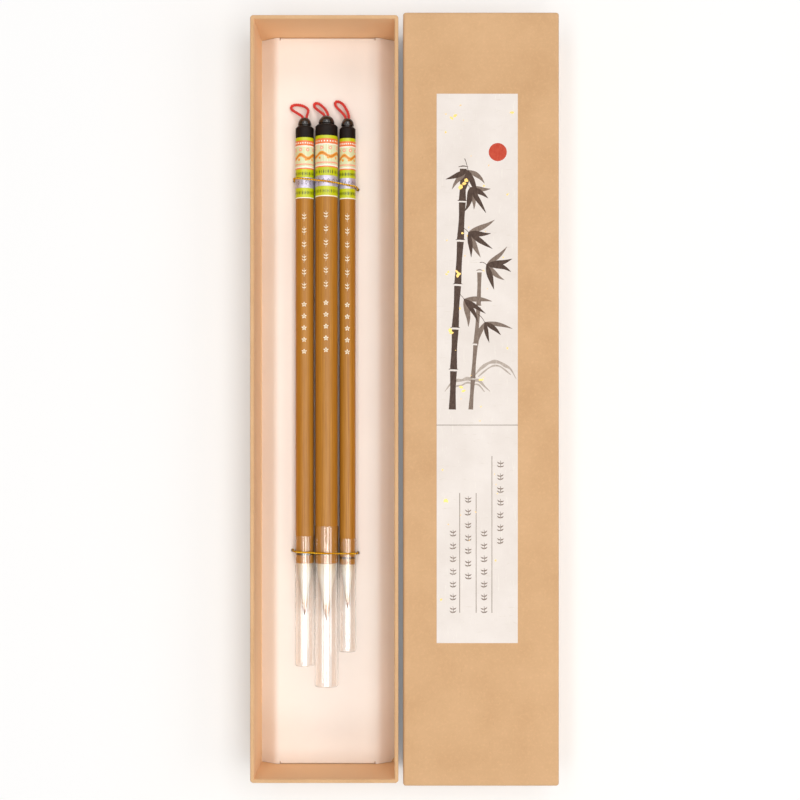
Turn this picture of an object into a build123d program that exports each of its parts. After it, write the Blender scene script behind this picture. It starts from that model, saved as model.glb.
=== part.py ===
from build123d import *

import math
import os

# A calligraphy set box: a long telescoping box of greyboard wrapped in kraft paper, its lid lying
# beside it with the outside up. In the tray a folded card platform carries three bamboo brushes,
# tied down side by side with two gold wire ties. Each brush has a turned finial with a cord loop,
# a paper sleeve with a foil band, and a clear push-on cap over its hair.
#
# Frame: X across the two halves of the box, Y along the brushes with their loops towards +Y, Z up,
# the origin on the table under the middle of the whole. Sizes are in millimetres.

# ---- the box --------------------------------------------------------------------------------
TRAY_WIDTH = 68.4
TRAY_LENGTH = 354.3
TRAY_HEIGHT = 38.0
TRAY_BOARD = 1.4  # greyboard of the tray
TRAY_EDGE_RADIUS = 0.6  # round its bottom, outside
LID_HEIGHT = 36.0
LID_BOARD = 1.2  # greyboard of the lid
LID_EDGE_RADIUS = 1.2  # round its top, outside
LID_CLEARANCE = 0.25  # between the closed lid and the tray inside it, each side
WRAP_PAPER = 0.2  # kraft paper and its glue
LINING_PAPER = 0.2  # sheet glued on to the inside of the floor and of the lid's top
STAY_TAPE = 0.08  # gummed tape round each corner of the boards, under the wrap
STAY_REACH = 12.0  # how far the tape runs from the corner
STAY_MARGIN = 2.0  # board left bare above and below the tape
TRAY_CORNER_RADIUS = 1.5  # upright corners, outside
LID_CORNER_RADIUS = 1.3
RIM_RADIUS = 0.6  # the open edges, where the paper turns over
TURN_UNDER = 12.0  # width of wrap glued under the tray's bottom
SHEET_GAP = 0.3  # from there to the edge of the sheet that covers the rest
BOX_GAP = 2.2  # between the tray and the lid beside it

# ---- the lid's paper label ------------------------------------------------------------------
LABEL_WIDTH = 37.5
LABEL_LENGTH = 254.0
LABEL_PAPER = 0.12
LABEL_SHIFT = 14.2  # its middle, from the lid's middle towards +Y
LABEL_ASIDE = -1.8  # and across

# ---- the card platform ----------------------------------------------------------------------
INSERT_CARD = 0.5
INSERT_RISE = 5.5  # height of its top above the tray's floor
INSERT_SHOULDER = 7.5  # width of the sloping flange on each side
INSERT_CLEARANCE = 0.2  # to the tray's walls
SHOULDER_RADIUS = 5.0  # outside of the long folds, bent soft
FOLD_RADIUS = 0.8  # outside of the end folds, creased
SLIT_WIDTH = 0.4  # cut at each end of the side folds
SLIT_LENGTH = 1.2
NOTCH_WIDTH = 1.6  # the slanting cut at the right foot corner, across and along
NOTCH_LENGTH = 2.1
TIE_HOLE_DIAMETER = 1.6

# ---- what the three brushes share -----------------------------------------------------------
REST_GAP = 0.3  # under each cap, above the card
HANDLE_GAP = 0.8  # between two handles side by side
BUNDLE_SHIFT = -0.2  # the large brush's axis, from the tray's middle
BORE_DIAMETER = 3.4  # the bamboo's hollow
SOCKET_WALL = 0.6  # bamboo left round the hair's root
SOCKET_DEPTH = 8.0
HANDLE_END_RADIUS = 0.45
RING_WIDTH = 0.9  # the dark ring turned near the hair
RING_DEPTH = 0.1
GLUE_GAP = 0.02  # in every glued fit, radially
TENON_LENGTH = 6.0  # of the finial, in the handle's bore
COLLAR_LENGTH = 7.2  # the finial's part as wide as the handle
COLLAR_CHAMFER = 0.8
NECK_LENGTH = 0.6
NECK_DEPTH = 0.45  # from the dome's widest in to the neck
DOME_LENGTH = 4.1
DOME_BASE_RADIUS = 0.4
CORD_HOLE_DIAMETER = 3.1
CORD_HOLE_DEPTH = 7.0
CORD_HOLE_RADIUS = 0.3  # round its mouth
CORD_DIAMETER = 1.4
SLEEVE_LENGTH = 29.0
SLEEVE_PAPER = 0.08
SLEEVE_LAP = 1.5  # over the finial's collar
FOIL_WIDTH = 5.0
FOIL_FILM = 0.05
FOIL_SHIFT = 21.6  # the foil band's middle, from the sleeve's upper edge
CAP_CLEARANCE = 0.08  # between the clear cap and the handle, radially
CAP_WALL = 0.22
CAP_END_WALL = 0.4
CAP_END_RADIUS = 0.7

# ---- the hair -------------------------------------------------------------------------------
STRANDS = 102  # in each brush
STRAND_FILL = 0.66  # a strand's width, as a share of the room that it has
ROOT_LENGTH = 5.0  # the bound, glued root in the socket
ROOT_PROUD = 0.3  # how far it shows past the handle
HAIR_LEVELS = (0.0, 0.3, 0.66, 1.0)  # places along the exposed length, as shares of it
HAIR_WIDTHS = (0.96, 0.92, 0.58, 0.12)  # the tuft's width there, as shares of the socket's
HAIR_STAGGER = 0.12  # how much shorter the outermost strands are

# ---- the ties -------------------------------------------------------------------------------
TIE_DIAMETER = 0.9
TIE_CLEARANCE = 0.15  # to the brushes and to the card's underside
TIE_BEND_RADIUS = 1.1  # where the wire turns under the card
TIE_TAIL = 8.0  # the two ends, laid side by side there
TIE_TAIL_PITCH = 1.05

# ---- the loops' routes ----------------------------------------------------------------------
# Points from the middle of the finial's tip: across, along and up. The cord comes out of the hole,
# droops on to the card, turns back and goes down the same hole.
LARGE_LOOP = [
    (-0.75, -6.4, 0.05),
    (-0.73, -3.0, -0.05),
    (-0.8, 0.2, 0.0),
    (-2.4, 1.7, -1.5),
    (-4.4, 3.5, -3.3),
    (-6.2, 5.2, -4.6),
    (-6.1, 6.9, -4.9),
    (-4.3, 7.1, -4.7),
    (-2.2, 5.4, -3.6),
    (-0.3, 3.0, -1.9),
    (0.75, 0.8, -0.4),
    (0.76, -2.2, 0.05),
    (0.74, -5.6, -0.05),
]
MEDIUM_LOOP = [
    (-0.75, -6.2, 0.05),
    (-0.73, -3.0, -0.05),
    (-0.8, 0.2, 0.0),
    (-2.7, 1.7, -1.0),
    (-5.0, 3.3, -2.5),
    (-6.8, 4.7, -3.6),
    (-6.6, 6.3, -3.9),
    (-4.6, 6.9, -3.85),
    (-2.1, 6.6, -3.4),
    (0.3, 5.5, -2.5),
    (1.8, 3.9, -1.5),
    (1.5, 2.0, -0.5),
    (0.77, -0.2, 0.0),
    (0.73, -3.3, -0.05),
    (0.75, -6.3, 0.05),
]
SMALL_LOOP = [
    (-0.75, -5.8, 0.05),
    (-0.73, -2.8, -0.05),
    (-0.75, 0.2, 0.0),
    (-2.1, 2.2, -0.9),
    (-3.9, 4.3, -2.3),
    (-5.6, 6.1, -3.3),
    (-6.25, 7.7, -3.55),
    (-5.4, 8.8, -3.5),
    (-3.9, 8.4, -3.1),
    (-2.1, 7.1, -2.4),
    (-0.8, 4.8, -1.4),
    (0.4, 2.3, -0.5),
    (0.76, -0.3, 0.05),
    (0.74, -3.0, -0.05),
    (0.76, -5.8, 0.05),
]

# ---- levels and places that follow ----------------------------------------------------------
TRAY_WALL = TRAY_BOARD + 2 * WRAP_PAPER
LID_WALL = LID_BOARD + 2 * WRAP_PAPER
LID_WIDTH = TRAY_WIDTH + 2 * (LID_CLEARANCE + LID_WALL)
LID_LENGTH = TRAY_LENGTH + 2 * (LID_CLEARANCE + LID_WALL)
TOTAL_WIDTH = TRAY_WIDTH + BOX_GAP + LID_WIDTH
TRAY_X = (TRAY_WIDTH - TOTAL_WIDTH) / 2
LID_X = (TOTAL_WIDTH - LID_WIDTH) / 2
TRAY_FLOOR = WRAP_PAPER + TRAY_BOARD + LINING_PAPER
CARD_TOP = TRAY_FLOOR + INSERT_RISE
INSERT_WIDTH = TRAY_WIDTH - 2 * (TRAY_WALL + INSERT_CLEARANCE)
INSERT_LENGTH = TRAY_LENGTH - 2 * (TRAY_WALL + INSERT_CLEARANCE)
PANEL_WIDTH = INSERT_WIDTH - 2 * INSERT_SHOULDER


class BoxHalf:
    """One half of the box, made with its open side up: four wall boards round a panel board."""

    def __init__(self, width, length, height, board, corner_radius, edge_radius):
        self.width = width
        self.length = length
        self.height = height
        self.board = board
        self.corner_radius = corner_radius
        self.edge_radius = edge_radius
        self.panel_top = WRAP_PAPER + board

    def tub(self, inset, low, high):
        """A block with the half's rounded corners, set in from its outside."""
        width = self.width - 2 * inset
        length = self.length - 2 * inset
        corner = max(self.corner_radius - inset, 0)
        outline = RectangleRounded(width, length, corner) if corner else Rectangle(width, length)
        return Pos(0, 0, low) * extrude(outline, high - low)

    def shell(self, inset, wall, floor):
        """Walls and a floor, set in by one paper's thickness or not at all, with rounded edges."""
        tub = self.tub(inset, inset, self.height - inset)
        tub = fillet(tub.faces().sort_by(Axis.Z)[0].edges(), self.edge_radius - inset)
        inner_width = self.width - 2 * (inset + wall)
        inner_length = self.length - 2 * (inset + wall)
        tub -= block(inner_width, inner_length, floor, self.height)
        return fillet(tub.faces().sort_by(Axis.Z)[-1].edges(), RIM_RADIUS - inset)

    def boards(self):
        """The five boards, butted, by name."""
        shell = self.shell(WRAP_PAPER, self.board, self.panel_top)
        inner_width = self.width - 2 * self.panel_top
        inner_length = self.length - 2 * self.panel_top
        panel = block(inner_width, inner_length, WRAP_PAPER, self.panel_top)
        between = block(inner_width, self.length, 0, self.height)
        half = Box(self.width, self.length, 2 * self.height)
        sides = shell - between
        ends = (shell & between) - panel
        return {
            "panel_board": panel,
            "side_board_left": sides & Pos(-self.width / 2, 0, 0) * half,
            "side_board_right": sides & Pos(self.width / 2, 0, 0) * half,
            "end_board_head": ends & Pos(0, self.length / 2, 0) * half,
            "end_board_foot": ends & Pos(0, -self.length / 2, 0) * half,
        }

    def corner_stays(self):
        """Four tapes, each round one upright corner of the boards."""
        low = WRAP_PAPER + STAY_MARGIN
        high = self.height - WRAP_PAPER - STAY_MARGIN
        tape = self.tub(WRAP_PAPER - STAY_TAPE, low, high) - self.tub(WRAP_PAPER, low, high)
        reach = WRAP_PAPER + STAY_REACH
        tape -= block(self.width - 2 * reach, self.length, 0, self.height)
        return tape - block(self.width, self.length - 2 * reach, 0, self.height)

    def lining(self):
        """The sheet on the inside of the panel, between the turned-in edges of the wrap."""
        inset = self.panel_top + WRAP_PAPER
        width = self.width - 2 * inset
        length = self.length - 2 * inset
        return block(width, length, self.panel_top, self.panel_top + LINING_PAPER)

    def wrap(self):
        """The kraft paper round the boards and tapes, over the rim and down the inside."""
        wall = self.board + 2 * WRAP_PAPER
        paper = self.shell(0, wall, self.panel_top)
        paper -= self.shell(WRAP_PAPER, self.board, self.panel_top)
        return paper - self.corner_stays()


class Brush:
    """One brush: its own sizes, and where its ends lie along Y."""

    def __init__(self, name, diameter, dome_diameter, joint, end, ring, hair, cap, loop):
        self.name = name
        self.radius = diameter / 2
        self.dome_radius = dome_diameter / 2
        self.joint = joint  # where the handle meets the finial
        self.end = end  # the handle's end at the hair
        self.ring = ring  # from that end to the middle of the dark ring
        self.hair = hair  # exposed length of the hair
        self.cap_mouth, self.cap_end = cap
        self.loop = loop
        self.shoulder = joint + COLLAR_LENGTH
        self.neck = self.shoulder + NECK_LENGTH
        self.tip = self.neck + DOME_LENGTH
        self.socket_radius = self.radius - SOCKET_WALL
        self.cap_bore = self.radius + CAP_CLEARANCE
        self.cap_radius = self.cap_bore + CAP_WALL
        self.z = CARD_TOP + REST_GAP + self.cap_radius
        self.x = 0.0  # set below, when the brushes are laid side by side


MEDIUM = Brush("medium", 8.7, 6.6, 123.8, -77.8, 4.4, 25.1, (-64.7, -127.0), MEDIUM_LOOP)
LARGE = Brush("large", 10.7, 7.8, 124.4, -77.8, 4.8, 27.5, (-59.9, -136.7), LARGE_LOOP)
SMALL = Brush("small", 7.7, 6.3, 123.6, -78.4, 3.2, 21.4, (-66.0, -120.3), SMALL_LOOP)
BRUSHES = (MEDIUM, LARGE, SMALL)
LARGE.x = TRAY_X + BUNDLE_SHIFT
MEDIUM.x = LARGE.x - LARGE.radius - HANDLE_GAP - MEDIUM.radius
SMALL.x = LARGE.x + LARGE.radius + HANDLE_GAP + SMALL.radius


class Tie:
    """A wire tie: up through the card, over the three brushes and down, its ends underneath."""

    def __init__(self, y, slant, cover, left, right, tail):
        self.y = y  # where it crosses the large brush
        self.slant = math.radians(slant)  # of its plane, from straight across
        self.cover = cover  # thickness of what the handles wear there
        self.left = left  # from the medium brush's axis to the left hole
        self.right = right  # from the small brush's axis to the right hole
        self.tail = tail  # which way along Y its ends are laid

    def point(self, across, z):
        """A point of the tie's plane, from the large brush's axis."""
        x = LARGE.x + across * math.cos(self.slant)
        y = self.y + across * math.sin(self.slant)
        return Vector(x, y, z)

    def across(self, x):
        """How far along the tie's plane a place across the box lies."""
        return (x - LARGE.x) / math.cos(self.slant)

    def holes(self):
        """How far along the plane the two holes in the card lie."""
        return self.across(MEDIUM.x - self.left), self.across(SMALL.x + self.right)


UPPER_TIE = Tie(103.9, -7.8, 2 * GLUE_GAP + SLEEVE_PAPER + FOIL_FILM, 5.2, 4.8, -1)
LOWER_TIE = Tie(-72.7, -2.2, CAP_CLEARANCE + CAP_WALL, 6.1, 4.9, 1)


def block(width, length, low, high):
    """A plain block on the middle of its half of the box, between two levels."""
    return Pos(0, 0, low) * extrude(Rectangle(width, length), high - low)


def rod(radius, low, high):
    """A round rod on the brush's axis, between two places along it."""
    return Pos(0, low, 0) * Rot(-90, 0, 0) * extrude(Circle(radius), high - low)


def pipe(inner, outer, low, high):
    """A tube on the brush's axis."""
    return rod(outer, low, high) - rod(inner, low, high)


def end_edge(shape, last):
    """The widest round edge at the first or the last end of a turned piece."""
    end = shape.faces().filter_by(Axis.Y).sort_by(Axis.Y)[-1 if last else 0]
    return end.edges().sort_by(SortBy.LENGTH)[-1]


def in_tray(shape):
    return Pos(TRAY_X, 0, 0) * shape


def on_table(shape):
    """The lid lies with its outside up."""
    return Pos(LID_X, 0, LID_HEIGHT) * mirror(shape, about=Plane.XY)


def on_axis(shape, brush):
    return Pos(brush.x, 0, brush.z) * shape


# ---- the box --------------------------------------------------------------------------------


def tray_nodes():
    radii = (TRAY_CORNER_RADIUS, TRAY_EDGE_RADIUS)
    half = BoxHalf(TRAY_WIDTH, TRAY_LENGTH, TRAY_HEIGHT, TRAY_BOARD, *radii)
    under_width = TRAY_WIDTH - 2 * TURN_UNDER
    under_length = TRAY_LENGTH - 2 * TURN_UNDER
    window = block(under_width, under_length, 0, WRAP_PAPER)
    base = block(under_width - 2 * SHEET_GAP, under_length - 2 * SHEET_GAP, 0, WRAP_PAPER)
    pieces = half.boards()
    pieces["corner_stays"] = half.corner_stays()
    pieces["wrap"] = half.wrap() - window
    pieces["base_sheet"] = base
    pieces["lining"] = half.lining()
    return {"tray_" + name: in_tray(piece) for name, piece in pieces.items()}


def lid_nodes():
    radii = (LID_CORNER_RADIUS, LID_EDGE_RADIUS)
    half = BoxHalf(LID_WIDTH, LID_LENGTH, LID_HEIGHT, LID_BOARD, *radii)
    pieces = half.boards()
    pieces["corner_stays"] = half.corner_stays()
    pieces["wrap"] = half.wrap()
    pieces["lining"] = half.lining()
    nodes = {"lid_" + name: on_table(piece) for name, piece in pieces.items()}
    label = extrude(Rectangle(LABEL_WIDTH, LABEL_LENGTH), LABEL_PAPER)
    nodes["lid_label"] = Pos(LID_X + LABEL_ASIDE, LABEL_SHIFT, LID_HEIGHT) * label
    return nodes


# ---- the card platform and its ties ---------------------------------------------------------


def platform_section():
    """Across the card: the panel and the two flanges that slope down to the tray's floor."""
    slope = math.atan2(INSERT_RISE, INSERT_SHOULDER)
    foot = INSERT_WIDTH / 2
    fold = PANEL_WIDTH / 2
    inner_foot = foot - INSERT_CARD / math.sin(slope)
    inner_fold = fold - INSERT_CARD * math.tan(slope / 2)
    right = [
        (fold, CARD_TOP),
        (foot, TRAY_FLOOR),
        (inner_foot, TRAY_FLOOR),
        (inner_fold, CARD_TOP - INSERT_CARD),
    ]
    left = [(-x, z) for x, z in reversed(right)]
    face = make_face(Polyline(*right, *left, close=True).edges())
    inner = face.vertices().group_by(Axis.Y)[1]
    face = fillet(inner, SHOULDER_RADIUS - INSERT_CARD)
    outer = face.vertices().group_by(Axis.Y)[-1]
    return fillet(outer, SHOULDER_RADIUS)


def insert_card():
    end = INSERT_LENGTH / 2
    slope = math.atan2(INSERT_RISE, INSERT_SHOULDER)
    flat = PANEL_WIDTH / 2 - SHOULDER_RADIUS * math.tan(slope / 2)
    tab = flat - SLIT_WIDTH
    card = extrude(Plane.XZ * platform_section(), end, both=True)
    corner = Polyline((0, 0), (-NOTCH_WIDTH, 0), (0, NOTCH_LENGTH), close=True)
    notch = extrude(make_face(corner.edges()), CARD_TOP)
    slit = Box(SLIT_WIDTH, 2 * SLIT_LENGTH, 2 * CARD_TOP)
    flange = Pos(0, end - INSERT_CARD / 2, (TRAY_FLOOR + CARD_TOP) / 2)
    flange *= Box(2 * tab, INSERT_CARD, CARD_TOP - TRAY_FLOOR)
    for turn in (0, 180):
        card -= Rot(0, 0, turn) * Pos(tab + SLIT_WIDTH / 2, end, 0) * slit
        card -= Rot(0, 0, turn) * Pos(-tab - SLIT_WIDTH / 2, end, 0) * slit
        card += Rot(0, 0, turn) * flange
    card -= Pos(INSERT_WIDTH / 2, -end, 0) * notch
    outer = card.edges().filter_by(Axis.X).group_by(Axis.Z)[-1]
    folds = outer.sort_by(SortBy.LENGTH)[-2:]
    card = in_tray(fillet(folds, FOLD_RADIUS))
    for tie in (UPPER_TIE, LOWER_TIE):
        for across in tie.holes():
            place = tie.point(across, 0)
            card -= Pos(place.X, place.Y, 0) * extrude(Circle(TIE_HOLE_DIAMETER / 2), CARD_TOP)
    return card


def tangent(first, second):
    """The common tangent above two circles, as its unit normal and its distance from zero.

    Each circle is (across, level, radius), the first to the left of the second.
    """
    run = second[0] - first[0]
    rise = second[1] - first[1]
    reach = math.hypot(run, rise)
    angle = math.atan2(rise, run) + math.acos((first[2] - second[2]) / reach)
    normal = (math.cos(angle), math.sin(angle))
    distance = normal[0] * first[0] + normal[1] * first[1] + first[2]
    return normal, distance


def crossing(one, other):
    """Where two such tangents cross."""
    (a, b), c = one
    (d, e), f = other
    scale = a * e - b * d
    return (c * e - b * f) / scale, (a * f - c * d) / scale


def wire_tie(tie):
    """One wire on tangents and arcs: round each brush it lies on that brush's own circle."""
    left, right = tie.holes()
    below = CARD_TOP - INSERT_CARD - TIE_CLEARANCE - TIE_DIAMETER / 2
    proud = tie.cover + TIE_CLEARANCE + TIE_DIAMETER / 2
    rounds = [(tie.across(b.x), b.z, (b.radius + proud) / math.cos(tie.slant)) for b in BRUSHES]
    stops = [(left, below, 0.0)] + rounds + [(right, below, 0.0)]
    tangents = [tangent(first, second) for first, second in zip(stops, stops[1:])]
    corners = [crossing(one, other) for one, other in zip(tangents, tangents[1:])]
    middle = (left + right) / 2
    turn_left = tie.point(middle - TIE_TAIL_PITCH / 2, below)
    turn_right = tie.point(middle + TIE_TAIL_PITCH / 2, below)
    tail = Vector(0, tie.tail * TIE_TAIL, 0)
    points = [turn_left + tail, turn_left, tie.point(left, below)]
    points += [tie.point(across, level) for across, level in corners]
    points += [tie.point(right, below), turn_right, turn_right + tail]
    bend = [TIE_BEND_RADIUS] * 2
    path = FilletPolyline(*points, radius=bend + [radius for _, _, radius in rounds] + bend)
    return tube(path, TIE_DIAMETER)


def tube(path, diameter):
    return sweep(Plane(path @ 0, z_dir=path % 0) * Circle(diameter / 2), path=path)


# ---- the brushes ----------------------------------------------------------------------------


def handle(brush):
    """A hollow bamboo handle: a bore, a socket for the hair and a turned ring."""
    stick = rod(brush.radius, brush.end, brush.joint)
    stick = fillet(end_edge(stick, last=False), HANDLE_END_RADIUS)
    stick -= rod(BORE_DIAMETER / 2, brush.end, brush.joint)
    stick -= rod(brush.socket_radius, brush.end, brush.end + SOCKET_DEPTH)
    low = brush.end + brush.ring - RING_WIDTH / 2
    return stick - pipe(brush.radius - RING_DEPTH, 2 * brush.radius, low, low + RING_WIDTH)


def finial(brush):
    """Turned from one piece: a tenon, a collar, a neck and a dome with the cord's hole."""
    collar = rod(brush.radius, brush.joint, brush.shoulder)
    collar = chamfer(end_edge(collar, last=True), COLLAR_CHAMFER)
    tenon = rod(BORE_DIAMETER / 2 - GLUE_GAP, brush.joint - TENON_LENGTH, brush.joint)
    neck = rod(brush.dome_radius - NECK_DEPTH, brush.shoulder, brush.neck)
    arc = EllipticalCenterArc((0, brush.neck), brush.dome_radius, DOME_LENGTH, arc_size=90)
    base = Polyline(arc @ 1, (0, brush.neck), arc @ 0)
    dome = revolve(make_face([arc, *base.edges()]), Axis.Y)
    dome = fillet(end_edge(dome, last=False), DOME_BASE_RADIUS)
    turned = tenon + collar + neck + dome
    turned -= rod(CORD_HOLE_DIAMETER / 2, brush.tip - CORD_HOLE_DEPTH, brush.tip)
    mouth = turned.edges().filter_by(GeomType.CIRCLE).sort_by(Axis.Y)[-1]
    return fillet(mouth, CORD_HOLE_RADIUS)


def bend_radii(points):
    """The arc at each corner of a route takes 0.45 of the shorter run beside it."""
    radii = []
    for before, corner, after in zip(points, points[1:], points[2:]):
        arriving = corner - before
        leaving = after - corner
        half_turn = math.radians(arriving.get_angle(leaving)) / 2
        radii.append(0.45 * min(arriving.length, leaving.length) / math.tan(half_turn))
    return radii


def loop(brush):
    points = [Vector(brush.x, brush.tip, brush.z) + Vector(*place) for place in brush.loop]
    radii = bend_radii(points)
    path = FilletPolyline(*points, radius=radii)
    print(brush.name, "loop: length", round(path.length, 1), "radii", [round(r, 1) for r in radii])
    cord = tube(path, CORD_DIAMETER)
    ideal = math.pi * CORD_DIAMETER**2 / 4 * path.length
    print(brush.name, "loop: volume", round(cord.volume, 2), "of", round(ideal, 2))
    return cord


def sleeve(brush):
    top = brush.joint + SLEEVE_LAP
    inner = brush.radius + GLUE_GAP
    return pipe(inner, inner + SLEEVE_PAPER, top - SLEEVE_LENGTH, top)


def foil(brush):
    middle = brush.joint + SLEEVE_LAP - FOIL_SHIFT
    inner = brush.radius + 2 * GLUE_GAP + SLEEVE_PAPER
    return pipe(inner, inner + FOIL_FILM, middle - FOIL_WIDTH / 2, middle + FOIL_WIDTH / 2)


def cap(brush):
    """A clear tube, closed at the hair's end, that slips over the handle."""
    outside = rod(brush.cap_radius, brush.cap_end, brush.cap_mouth)
    outside = fillet(end_edge(outside, last=False), CAP_END_RADIUS)
    inside = rod(brush.cap_bore, brush.cap_end + CAP_END_WALL, brush.cap_mouth)
    return outside - fillet(end_edge(inside, last=False), CAP_END_RADIUS - CAP_WALL)


def tuft_width(share):
    """The tuft's width at a share of its length, on straight lines between the levels."""
    for low, high, wide, narrow in zip(HAIR_LEVELS, HAIR_LEVELS[1:], HAIR_WIDTHS, HAIR_WIDTHS[1:]):
        if share <= high:
            return wide + (narrow - wide) * (share - low) / (high - low)
    return HAIR_WIDTHS[-1]


def strand(brush, index):
    """One three-sided strand. All strands draw in by the same share, so that none cross."""
    out = math.sqrt((index + 0.5) / STRANDS)
    angle = index * math.pi * (3 - math.sqrt(5))
    room = brush.socket_radius * math.sqrt(math.pi / STRANDS)
    place = brush.socket_radius * (1 - 0.5 * math.sqrt(1 / STRANDS)) * out
    last = 1 - HAIR_STAGGER * out
    shares = [share for share in HAIR_LEVELS if share < last] + [last]
    rings = []
    for share in shares:
        scale = tuft_width(share)
        y = brush.end - ROOT_PROUD - share * (brush.hair - ROOT_PROUD)
        if share == 0:
            y += ROOT_PROUD
        centre = Vector(place * scale * math.cos(angle), y, place * scale * math.sin(angle))
        reach = room * STRAND_FILL * scale / math.sqrt(3)
        corners = [angle + turn * 2 * math.pi / 3 for turn in range(3)]
        corners = [centre + Vector(reach * math.cos(a), 0, reach * math.sin(a)) for a in corners]
        rings.append(Wire.make_polygon(corners))
    return Solid.make_loft(rings, ruled=True)


def hair(brush):
    """The tuft: strands fused to the bound root that is glued into the handle's socket."""
    root = rod(brush.socket_radius - GLUE_GAP, brush.end - ROOT_PROUD, brush.end + ROOT_LENGTH)
    return root.fuse(*[strand(brush, index) for index in range(STRANDS)])


def brush_nodes(brush):
    pieces = {
        "handle": handle(brush),
        "finial": finial(brush),
        "sleeve": sleeve(brush),
        "foil_band": foil(brush),
        "hair": hair(brush),
        "cap": cap(brush),
    }
    nodes = {f"brush_{brush.name}_{name}": on_axis(piece, brush) for name, piece in pieces.items()}
    nodes[f"brush_{brush.name}_loop"] = loop(brush)
    return nodes


def all_nodes():
    nodes = {**tray_nodes(), **lid_nodes()}
    nodes["insert_card"] = insert_card()
    nodes["tie_upper"] = wire_tie(UPPER_TIE)
    nodes["tie_lower"] = wire_tie(LOWER_TIE)
    for brush in BRUSHES:
        nodes.update(brush_nodes(brush))
    return nodes


os.makedirs("parts", exist_ok=True)
for node_name, node_shape in all_nodes().items():
    export_step(node_shape, f"parts/{node_name}.step")
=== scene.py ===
"""Looks of the calligraphy set box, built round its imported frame. Lengths are metres, and the
sizes below in millimetres carry MM."""

import random
from math import cos, pi, radians, sin, sqrt

import bpy
from mathutils import Matrix, Vector


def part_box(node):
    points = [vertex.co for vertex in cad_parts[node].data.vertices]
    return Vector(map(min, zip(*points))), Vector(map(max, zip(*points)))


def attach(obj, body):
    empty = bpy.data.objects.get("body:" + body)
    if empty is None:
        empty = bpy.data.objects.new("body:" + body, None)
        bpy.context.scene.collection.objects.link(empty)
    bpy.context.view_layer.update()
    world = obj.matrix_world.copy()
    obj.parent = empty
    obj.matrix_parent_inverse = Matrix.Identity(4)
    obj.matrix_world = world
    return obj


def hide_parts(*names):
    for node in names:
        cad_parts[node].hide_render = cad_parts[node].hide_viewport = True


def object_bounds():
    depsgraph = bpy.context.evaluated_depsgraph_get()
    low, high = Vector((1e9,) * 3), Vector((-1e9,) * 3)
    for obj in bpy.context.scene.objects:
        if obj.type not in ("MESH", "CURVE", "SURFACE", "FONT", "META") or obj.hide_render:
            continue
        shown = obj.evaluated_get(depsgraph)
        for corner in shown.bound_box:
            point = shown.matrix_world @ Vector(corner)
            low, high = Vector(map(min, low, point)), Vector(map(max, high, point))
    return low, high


MM = 0.001

# ---- camera and light ----
IMAGE_SIZE = 800  # pixels
SENSOR = 36.0  # millimetres, as the camera's own units
FOCAL_PIXELS = 1423.0
CAMERA_PLACE = (-2.2 * MM, -18.9 * MM, 694.0 * MM)
CAMERA_SHIFT_Y = 0.05
CAMERA_CLIP = (0.01, 20.0)
WORLD_LIGHT = 0.3
FLOOR_HALF = 3.0
FLOOR_DROP = 0.05 * MM
FLOOR_WHITE = 0.2  # share of the backdrop's white that the camera sees on the floor by the box
BACKDROP_WHITE = 0.75  # and on the floor well away from it
FLOOR_NEAR = (79.0, 178.0)  # mm from the middle, across and along, where that starts to change
FLOOR_FADE = 74.0  # mm from there to where it has changed
WARM = (1.0, 0.975, 0.95)
# The lamps all face the middle: place, size across and along, watts and tint.
LAMPS = {
    "key_right": ((0.31, -0.05, 1.25), (0.46, 0.9), 6.2, WARM),
    "fill_left": ((-0.33, -0.05, 1.25), (0.2, 0.9), 3.7, (1.0, 0.98, 0.96)),
    "low_foot": ((0.1, -0.95, 1.05), (0.5, 0.4), 2.6, WARM),
    "low_head": ((0.1, 0.95, 1.05), (0.5, 0.4), 2.4, WARM),
    "side_right": ((0.85, -0.1, 0.9), (0.4, 0.6), 2.0, WARM),
}

# ---- the brushes' own sizes ----
BRUSH_NAMES = ("medium", "large", "small")
FINIAL_LENGTH = 11.9 * MM  # from the handle to the dome's tip
HAIR_LENGTHS = {"medium": 25.1 * MM, "large": 27.5 * MM, "small": 21.4 * MM}
RING_SHIFTS = {"medium": 4.4, "large": 4.8, "small": 3.2}  # mm from the handle's foot
RING_HALF = 0.47  # mm, half the width of the dark ring there
DOME_EDGE = (4.8, 4.2)  # mm from a finial's tip, where its matt collar gives way to the gloss

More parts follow.
